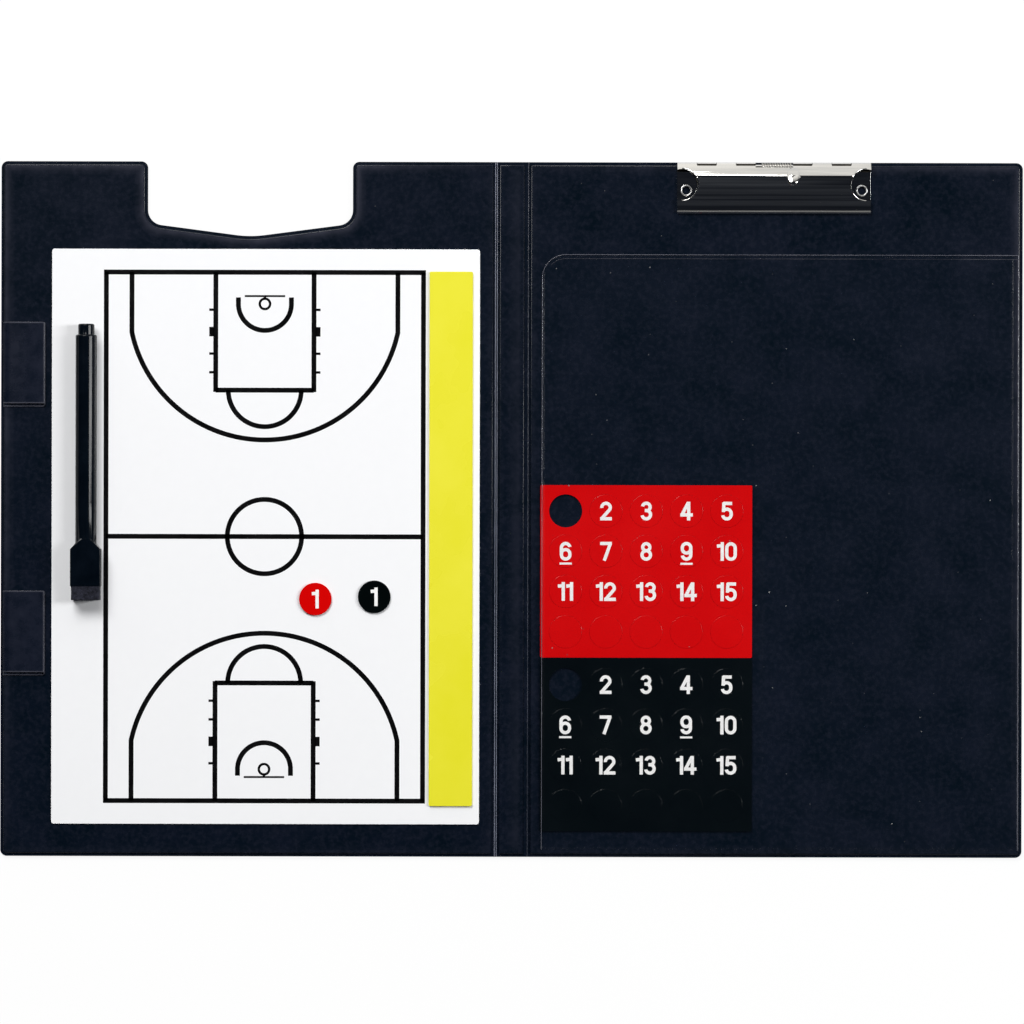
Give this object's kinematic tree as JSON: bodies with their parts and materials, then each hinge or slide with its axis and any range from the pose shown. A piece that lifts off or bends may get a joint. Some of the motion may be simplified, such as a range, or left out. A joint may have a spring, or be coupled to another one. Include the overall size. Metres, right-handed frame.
{
  "type": "folding tactics board",
  "caption": "Folding coach's tactics board, open flat: steel court whiteboard with magnet discs and marker on one cover, magnet sheets in a clear pocket and a spring clip on the other.",
  "frame": {"origin": "middle of the open board's outline, on the surface that it lies on", "axes": "+X from the front cover to the back cover, +Y up the page towards the clip, +Z out of the inside face"},
  "size_m": [0.4704, 0.32, 0.0133],
  "materials": {
    "vinyl": "soft PVC sheet, navy black, fine grain",
    "stiff_board": "grey board, hidden between the skins",
    "white_steel": "gloss white coating on thin steel, black printed court lines",
    "tape": "double-sided tape",
    "yellow_magnet": "flexible magnet with yellow film",
    "red_magnet": "flexible magnet with red film, white printed numbers",
    "black_magnet": "flexible magnet with black film, white printed numbers",
    "clear_film": "clear soft PVC film",
    "chrome": "bright plated steel",
    "spring_steel": "plain steel wire",
    "black_plastic": "smooth moulded plastic",
    "felt": "pressed felt and fibre",
    "soft_seal": "soft moulded cup"
  },
  "bodies": {
    "back_cover": {"back_outer_skin": "vinyl", "back_board": "stiff_board", "back_inner_skin": "vinyl", "pocket_film": "clear_film", "clip_base": "chrome", "clip_pin": "spring_steel", "clip_spring": "spring_steel", "clip_rivets": "chrome"},
    "spine": {"spine_outer_skin": "vinyl", "spine_board": "stiff_board", "spine_inner_skin": "vinyl"},
    "front_cover": {"front_outer_skin": "vinyl", "front_board": "stiff_board", "front_inner_skin": "vinyl", "whiteboard_tape": "tape", "whiteboard_sheet": "white_steel"},
    "clamp": {"clip_clamp": "chrome"},
    "marker": {"pen_barrel": "black_plastic", "pen_end_plug": "black_plastic", "pen_reservoir": "felt", "pen_section": "black_plastic", "pen_nib": "felt"},
    "marker_cap": {"pen_cap": "black_plastic", "cap_seal": "soft_seal", "eraser_felt": "felt"},
    "strip": {"yellow_strip": "yellow_magnet"},
    "red_disc": {"red_disc_1": "red_magnet"},
    "black_disc": {"black_disc_1": "black_magnet"},
    "red_set": {"red_sheet": "red_magnet", "red_numbered_discs": "red_magnet", "red_plain_discs": "red_magnet"},
    "black_set": {"black_sheet": "black_magnet", "black_numbered_discs": "black_magnet", "black_plain_discs": "black_magnet"},
    "upper_loop": {"upper_pen_loop": "vinyl"},
    "lower_loop": {"lower_pen_loop": "vinyl"}
  },
  "joints": [
    {"name": "spine_fold", "type": "hinge", "parent": "back_cover", "child": "spine", "pos_m": [0.0072, 0, 0.0014], "axis": [0, 1, 0], "range_deg": [0, 90]},
    {"name": "cover_fold", "type": "hinge", "parent": "spine", "child": "front_cover", "pos_m": [-0.0072, 0, 0.0014], "axis": [0, 1, 0], "range_deg": [0, 90]},
    {"name": "clip_open", "type": "hinge", "parent": "back_cover", "child": "clamp", "pos_m": [0.1205, 0.1579, 0.00465], "axis": [-1, 0, 0], "range_deg": [0, 60], "stiffness_Nm_per_rad": 0.15, "springref_deg": -34.38, "deforming": ["clip_spring"]},
    {"name": "marker_lift", "type": "slide", "parent": "front_cover", "child": "marker", "axis": [0, 0, -1], "range_m": [-0.06, 0]},
    {"name": "cap_pull", "type": "slide", "parent": "marker", "child": "marker_cap", "axis": [0, -1, 0], "range_m": [0, 0.045]},
    {"name": "strip_lift", "type": "slide", "parent": "front_cover", "child": "strip", "axis": [0, 0, -1], "range_m": [-0.04, 0]},
    {"name": "red_disc_slide", "type": "slide", "parent": "front_cover", "child": "red_disc", "axis": [0, 1, 0], "range_m": [-0.095, 0.15]},
    {"name": "black_disc_slide", "type": "slide", "parent": "front_cover", "child": "black_disc", "axis": [0, 1, 0], "range_m": [-0.095, 0.15]},
    {"name": "red_set_slide", "type": "slide", "parent": "back_cover", "child": "red_set", "axis": [1, 0, 0], "range_m": [-0.025, 0]},
    {"name": "black_set_slide", "type": "slide", "parent": "back_cover", "child": "black_set", "axis": [1, 0, 0], "range_m": [-0.025, 0]},
    {"name": "upper_loop_swing", "type": "hinge", "parent": "front_cover", "child": "upper_loop", "pos_m": [-0.234, 0.0664, 0.00235], "axis": [0, -1, 0], "range_deg": [0, 135]},
    {"name": "lower_loop_swing", "type": "hinge", "parent": "front_cover", "child": "lower_loop", "pos_m": [-0.234, -0.0573, 0.00235], "axis": [0, -1, 0], "range_deg": [0, 135]}
  ]
}
